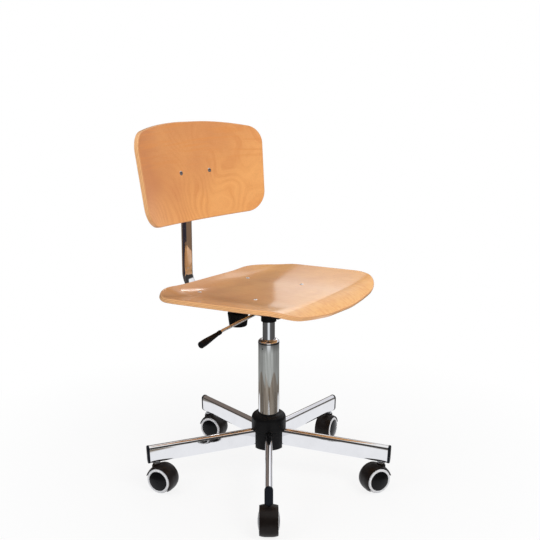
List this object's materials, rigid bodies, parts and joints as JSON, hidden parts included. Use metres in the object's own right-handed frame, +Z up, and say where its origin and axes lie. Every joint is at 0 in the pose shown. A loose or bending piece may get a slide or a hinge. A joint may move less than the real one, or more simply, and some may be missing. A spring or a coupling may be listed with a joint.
{
  "type": "swivel desk chair",
  "caption": "Height-adjustable swivel chair with a shaped plywood seat and a tilting plywood back on a bent tube, over a gas lift and a star base on twin-wheel castors.",
  "frame": {"origin": "on the floor, on the axis of the column", "axes": "+Z up along the column; the chair faces -Y; +X is the sitter's left"},
  "size_m": [0.5469, 0.5495, 0.8093],
  "materials": {
    "plywood": "clear lacquered beech veneer, satin",
    "chrome": "bright chrome plate",
    "zinc_steel": "bright zinc plate",
    "black_steel": "black powder coat",
    "black_plastic": "fine matte grain",
    "gloss_black": "polished",
    "grey_tread": "soft grey tread"
  },
  "bodies": {
    "base": {"base_arms": "chrome", "base_hub": "chrome", "hub_cover": "black_plastic", "arm_end_caps": "black_plastic", "castor_stems": "zinc_steel", "castor_sockets": "black_plastic", "column_tube": "chrome", "column_bush": "black_plastic", "column_cap": "chrome", "thrust_bearing": "zinc_steel"},
    "lift_rod": {"piston_rod": "zinc_steel", "rod_clip": "zinc_steel"},
    "seat": {"gas_cylinder": "chrome", "seat_carrier": "black_steel", "carrier_shroud": "black_plastic", "stem_guide": "black_plastic", "seat_shell": "plywood", "seat_screws": "zinc_steel", "lever_pin": "zinc_steel"},
    "lever": {"lever_rod": "chrome", "lever_grip": "black_plastic"},
    "button": {"release_button": "zinc_steel"},
    "clamp_screw": {"clamp_screw": "zinc_steel"},
    "clamp_knob": {"clamp_knob": "black_plastic"},
    "stem": {"back_stem": "chrome", "stem_plug": "black_plastic", "back_hinge_pin": "zinc_steel"},
    "back": {"back_bracket": "black_steel", "back_shell": "plywood", "back_fasteners": "zinc_steel"},
    "castor_1": {"castor_1_hood": "black_plastic", "castor_1_axle": "zinc_steel"},
    "castor_1_roller_left": {"castor_1_wheel_left": "gloss_black", "castor_1_tyre_left": "grey_tread"},
    "castor_1_roller_right": {"castor_1_wheel_right": "gloss_black", "castor_1_tyre_right": "grey_tread"},
    "castor_2": {"castor_2_hood": "black_plastic", "castor_2_axle": "zinc_steel"},
    "castor_2_roller_left": {"castor_2_wheel_left": "gloss_black", "castor_2_tyre_left": "grey_tread"},
    "castor_2_roller_right": {"castor_2_wheel_right": "gloss_black", "castor_2_tyre_right": "grey_tread"},
    "castor_3": {"castor_3_hood": "black_plastic", "castor_3_axle": "zinc_steel"},
    "castor_3_roller_left": {"castor_3_wheel_left": "gloss_black", "castor_3_tyre_left": "grey_tread"},
    "castor_3_roller_right": {"castor_3_wheel_right": "gloss_black", "castor_3_tyre_right": "grey_tread"},
    "castor_4": {"castor_4_hood": "black_plastic", "castor_4_axle": "zinc_steel"},
    "castor_4_roller_left": {"castor_4_wheel_left": "gloss_black", "castor_4_tyre_left": "grey_tread"},
    "castor_4_roller_right": {"castor_4_wheel_right": "gloss_black", "castor_4_tyre_right": "grey_tread"},
    "castor_5": {"castor_5_hood": "black_plastic", "castor_5_axle": "zinc_steel"},
    "castor_5_roller_left": {"castor_5_wheel_left": "gloss_black", "castor_5_tyre_left": "grey_tread"},
    "castor_5_roller_right": {"castor_5_wheel_right": "gloss_black", "castor_5_tyre_right": "grey_tread"}
  },
  "joints": [
    {"name": "castor_1_swivel", "type": "hinge", "parent": "base", "child": "castor_1", "pos_m": [0.264, 0, 0.05], "axis": [0, 0, 1], "continuous": true},
    {"name": "castor_1_roll_left", "type": "hinge", "parent": "castor_1", "child": "castor_1_roller_left", "pos_m": [0.25017, -0.00219, 0.029], "axis": [0.1564, -0.9877, 0], "continuous": true},
    {"name": "castor_1_roll_right", "type": "hinge", "parent": "castor_1", "child": "castor_1_roller_right", "pos_m": [0.25017, -0.00219, 0.029], "axis": [0.1564, -0.9877, 0], "continuous": true},
    {"name": "castor_2_swivel", "type": "hinge", "parent": "base", "child": "castor_2", "pos_m": [0.08158, 0.25108, 0.05], "axis": [0, 0, 1], "continuous": true},
    {"name": "castor_2_roll_left", "type": "hinge", "parent": "castor_2", "child": "castor_2_roller_left", "pos_m": [0.08377, 0.23725, 0.029], "axis": [0.9877, 0.1564, 0], "continuous": true},
    {"name": "castor_2_roll_right", "type": "hinge", "parent": "castor_2", "child": "castor_2_roller_right", "pos_m": [0.08377, 0.23725, 0.029], "axis": [0.9877, 0.1564, 0], "continuous": true},
    {"name": "castor_3_swivel", "type": "hinge", "parent": "base", "child": "castor_3", "pos_m": [-0.21358, 0.15518, 0.05], "axis": [0, 0, 1], "continuous": true},
    {"name": "castor_3_roll_left", "type": "hinge", "parent": "castor_3", "child": "castor_3_roller_left", "pos_m": [-0.21091, 0.14143, 0.029], "axis": [0.9816, 0.1908, 0], "continuous": true},
    {"name": "castor_3_roll_right", "type": "hinge", "parent": "castor_3", "child": "castor_3_roller_right", "pos_m": [-0.21091, 0.14143, 0.029], "axis": [0.9816, 0.1908, 0], "continuous": true},
    {"name": "castor_4_swivel", "type": "hinge", "parent": "base", "child": "castor_4", "pos_m": [-0.21358, -0.15518, 0.05], "axis": [0, 0, 1], "continuous": true},
    {"name": "castor_4_roll_left", "type": "hinge", "parent": "castor_4", "child": "castor_4_roller_left", "pos_m": [-0.22491, -0.1634, 0.029], "axis": [0.5878, -0.809, 0], "continuous": true},
    {"name": "castor_4_roll_right", "type": "hinge", "parent": "castor_4", "child": "castor_4_roller_right", "pos_m": [-0.22491, -0.1634, 0.029], "axis": [0.5878, -0.809, 0], "continuous": true},
    {"name": "castor_5_swivel", "type": "hinge", "parent": "base", "child": "castor_5", "pos_m": [0.08158, -0.25108, 0.05], "axis": [0, 0, 1], "continuous": true},
    {"name": "castor_5_roll_left", "type": "hinge", "parent": "castor_5", "child": "castor_5_roller_left", "pos_m": [0.06934, -0.24429, 0.029], "axis": [-0.4848, -0.8746, 0], "continuous": true},
    {"name": "castor_5_roll_right", "type": "hinge", "parent": "castor_5", "child": "castor_5_roller_right", "pos_m": [0.06934, -0.24429, 0.029], "axis": [-0.4848, -0.8746, 0], "continuous": true},
    {"name": "seat_swivel", "type": "hinge", "parent": "base", "child": "lift_rod", "pos_m": [0, 0, 0.084], "axis": [0, 0, 1], "continuous": true},
    {"name": "seat_lift", "type": "slide", "parent": "lift_rod", "child": "seat", "axis": [0, 0, 1], "range_m": [-0.04, 0.09]},
    {"name": "lever_lift", "type": "hinge", "parent": "seat", "child": "lever", "pos_m": [-0.02, 0, 0.39941], "axis": [0, 1, 0], "range_deg": [0, 6], "stiffness_Nm_per_rad": 2, "springref_deg": -6.88},
    {"name": "button_press", "type": "slide", "parent": "seat", "child": "button", "axis": [0, 0, -1], "range_m": [0, 0.0025], "stiffness_N_per_m": 500, "springref_m": -0.001},
    {"name": "clamp_travel", "type": "slide", "parent": "seat", "child": "clamp_screw", "axis": [0, 0, -1], "range_m": [0, 0.0031]},
    {"name": "clamp_turn", "type": "hinge", "parent": "clamp_screw", "child": "clamp_knob", "pos_m": [0, 0.088, 0.36], "axis": [0, 0, -1], "range_deg": [0, 720]},
    {"name": "back_depth", "type": "slide", "parent": "seat", "child": "stem", "axis": [0, -1, 0], "range_m": [-0.025, 0.025]},
    {"name": "back_tilt", "type": "hinge", "parent": "stem", "child": "back", "pos_m": [0, 0.242, 0.69], "axis": [1, 0, 0], "range_deg": [-10, 10]}
  ],
  "couplings": [
    {"joint": "button_press", "follows": "lever_lift", "m_per_rad": 0.0185},
    {"joint": "clamp_travel", "follows": "clamp_turn", "m_per_rad": 0.00023873}
  ]
}
